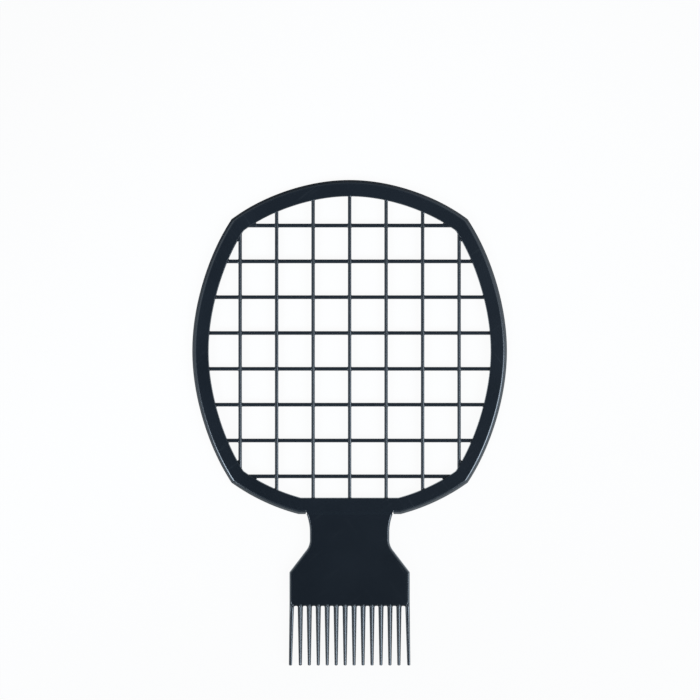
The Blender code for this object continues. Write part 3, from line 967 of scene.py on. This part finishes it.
class COMB_OT_make_blade(bpy.types.Operator):
    """Build the waisted handle blade"""

    bl_idname = "comb.make_blade"
    bl_label = "Make blade"

    def execute(self, context):
        scene = context.scene
        mesh = blade_mesh(scene.comb_ring, scene.comb_blade, scene.comb_teeth)
        material = plastic(scene, "blade_plastic", scene.comb_plastic.gloss)
        add_piece("handle_blade_skin", mesh, material, "blade_plastic", "handle_blade")
        return {"FINISHED"}


class COMB_OT_make_teeth(bpy.types.Operator):
    """Build the row of teeth"""

    bl_idname = "comb.make_teeth"
    bl_label = "Make teeth"

    def execute(self, context):
        scene = context.scene
        gloss = scene.comb_plastic.tooth_gloss
        material = plastic(scene, "tooth_plastic", gloss, True, seed_step=TOOTH_SEED_STEP)
        for index, name in enumerate(TOOTH_NODES):
            mesh = tooth_mesh(name, index, scene.comb_ring, scene.comb_blade, scene.comb_teeth)
            add_piece(name + "_skin", mesh, material, "tooth_plastic", name)
        return {"FINISHED"}


def seen_share(tree, mirror_share):
    """1 for rays from the camera or through glass, and a share for rays off gloss."""
    path = tree.nodes.new("ShaderNodeLightPath")
    kinds = ("Is Camera Ray", "Is Glossy Ray", "Is Transmission Ray")
    camera, glossy, through = (Shade(tree, path.outputs[kind]) for kind in kinds)
    return camera.at_least(through).at_least(glossy * mirror_share)


def make_floor(scene, studio, plain):
    """The floor. The camera sees it plain, with a little shadow, and gloss mirrors a pool of light
    painted on it instead: a ramp of greys along the comb, plus a slope to the right."""
    corners = np.array([[-1, -1, 0], [1, -1, 0], [1, 1, 0], [-1, 1, 0]]) * FLOOR_REACH
    mesh = bpy.data.meshes.new("floor")
    mesh.from_pydata((corners - (0, 0, FLOOR_DROP)).tolist(), [], [[0, 1, 2, 3]])
    floor = bpy.data.objects.new("floor", mesh)
    scene.collection.objects.link(floor)
    material = bpy.data.materials.new("studio_floor")
    tree = empty_tree(material)
    shading = node(tree, "ShaderNodeBsdfDiffuse", {}, {"Color": (*studio.floor_colour, 1)})
    across, along, _ = split(tree, node(tree, "ShaderNodeTexCoord", output="Object"))
    # The painted pool of light that reflections see: greys along the comb and a slope across it
    pool = grey_ramp(tree, PAINTED_POOL_STOPS, (along + PAINTED_POOL_SHIFT) * PAINTED_POOL_SCALE) * studio.mirror_glow
    pool = (pool + across * PAINTED_POOL_SLOPE).at_least(PAINTED_POOL_LEAST).at_most(1.0)
    pool = mix_colours(tree, pool, BLACK, PAINTED_POOL_COLOUR)
    shown = mix_colours(tree, seen_share(tree, 0.0), pool, plain)
    glow = node(tree, "ShaderNodeEmission", {}, {"Color": shown, "Strength": 1})
    seen = seen_share(tree, 1.0) * studio.floor_glow
    mixed = node(tree, "ShaderNodeMixShader", {}, {0: seen, 1: shading, 2: glow})
    show_surface(tree, "ShaderNodeOutputMaterial", mixed)
    mesh.materials.append(material)


def make_room(scene, plain):
    """The world. The camera sees a plain backdrop, and gloss and soft light a room instead:
    the greatest grey of a ceiling, the walls on both sides and a panel at the head."""
    world = bpy.data.worlds.new("studio_air")
    scene.world = world
    tree = empty_tree(world)
    across, along, height = split(tree, node(tree, "ShaderNodeTexCoord", output="Generated"))
    ceiling = grey_ramp(tree, CEILING_STOPS, height)
    walls = grey_ramp(tree, WALL_STOPS, across * 0.5 + 0.5)
    panel = grey_ramp(tree, HEAD_STOPS, along * 0.5 + 0.5)
    room = mix_colours(tree, ceiling.at_least(panel).at_least(walls), BLACK, ROOM_COLOUR)
    colour = mix_colours(tree, seen_share(tree, 0.0), room, plain)
    background = node(tree, "ShaderNodeBackground", {}, {"Color": colour, "Strength": 1})
    show_surface(tree, "ShaderNodeOutputWorld", background)


def add_lamp(scene, name, power, centre_y):
    """A softbox with a grid before it, which faces its target."""
    place, target, size, spread = LAMPS[name]
    place, target = ((x, centre_y + y, z) for x, y, z in (place, target))
    data = bpy.data.lights.new(name, "AREA")
    data.shape = "RECTANGLE"
    data.spread = math.radians(spread)
    data.size, data.size_y = size
    data.energy = power
    data.color = LAMP_COLOUR
    made = bpy.data.objects.new(name, data)
    made.location = place
    made.rotation_euler = (Vector(target) - Vector(place)).to_track_quat("-Z", "Y").to_euler()
    scene.collection.objects.link(made)


def add_camera(scene, studio, facts):
    """The camera, which looks straight down. Its lens shows the view width at the comb: the
    sensor's width times the camera's height over the view width."""
    data = bpy.data.cameras.new("camera")
    data.sensor_width = SENSOR_WIDTH
    data.lens = SENSOR_WIDTH * studio.camera_height / studio.view_width
    camera = bpy.data.objects.new("camera", data)
    x, y = CAMERA_SHIFT
    camera.location = (x, facts["centre_y"] + y, facts["half"] + studio.camera_height)
    scene.collection.objects.link(camera)
    scene.camera = camera


class COMB_OT_make_stage(bpy.types.Operator):
    """Build the floor, the lamps, the room and the camera"""

    bl_idname = "comb.make_stage"
    bl_label = "Make stage"

    def execute(self, context):
        scene = context.scene
        studio = scene.comb_studio
        facts = ring_facts(scene.comb_ring, scene.comb_blade)
        plain = (studio.backdrop, studio.backdrop, studio.backdrop, 1)
        make_floor(scene, studio, plain)
        add_lamp(scene, "softbox_left", studio.left_power, facts["centre_y"])
        add_lamp(scene, "softbox_right", studio.right_power, facts["centre_y"])
        make_room(scene, plain)
        add_camera(scene, studio, facts)
        scene.view_settings.view_transform = "Standard"
        return {"FINISHED"}


class COMB_PT_panel(bpy.types.Panel):
    """The comb's sizes, finish and buttons"""

    bl_idname = "COMB_PT_panel"
    bl_label = "Racket comb"
    bl_space_type = "VIEW_3D"
    bl_region_type = "UI"
    bl_category = "Comb"

    def draw(self, context):
        layout = self.layout
        for name, label, group in GROUPS:
            box = layout.box()
            box.label(text=label)
            for size in group.__annotations__:
                box.prop(getattr(context.scene, name), size)
        for operator in OPERATORS:
            layout.operator(operator.bl_idname)


# The groups of sizes and colours, by their names in the scene and in the panel
GROUPS = (
    ("comb_ring", "Ring", CombRingSizes),
    ("comb_grid", "Grid", CombGridSizes),
    ("comb_blade", "Blade", CombBladeSizes),
    ("comb_teeth", "Teeth", CombTeethSizes),
    ("comb_plastic", "Plastic", CombPlastic),
    ("comb_studio", "Studio", CombStudio),
)
OPERATORS = (
    COMB_OT_make_rim,
    COMB_OT_make_grid,
    COMB_OT_make_blade,
    COMB_OT_make_teeth,
    COMB_OT_make_stage,
)


def register():
    """Make the properties, the operators and the panel known."""
    for name, label, group in GROUPS:
        bpy.utils.register_class(group)
        setattr(bpy.types.Scene, name, PointerProperty(type=group))
    for operator in OPERATORS:
        bpy.utils.register_class(operator)
    bpy.utils.register_class(COMB_PT_panel)


def unregister():
    """Take back what register made known."""
    bpy.utils.unregister_class(COMB_PT_panel)
    for operator in reversed(OPERATORS):
        bpy.utils.unregister_class(operator)
    for name, label, group in reversed(GROUPS):
        delattr(bpy.types.Scene, name)
        bpy.utils.unregister_class(group)


def main():
    """Build the comb and its studio."""
    register()
    bpy.ops.comb.make_stage()
    bpy.ops.comb.make_rim()
    bpy.ops.comb.make_grid()
    bpy.ops.comb.make_blade()
    bpy.ops.comb.make_teeth()


if __name__ == "__main__":
    main()
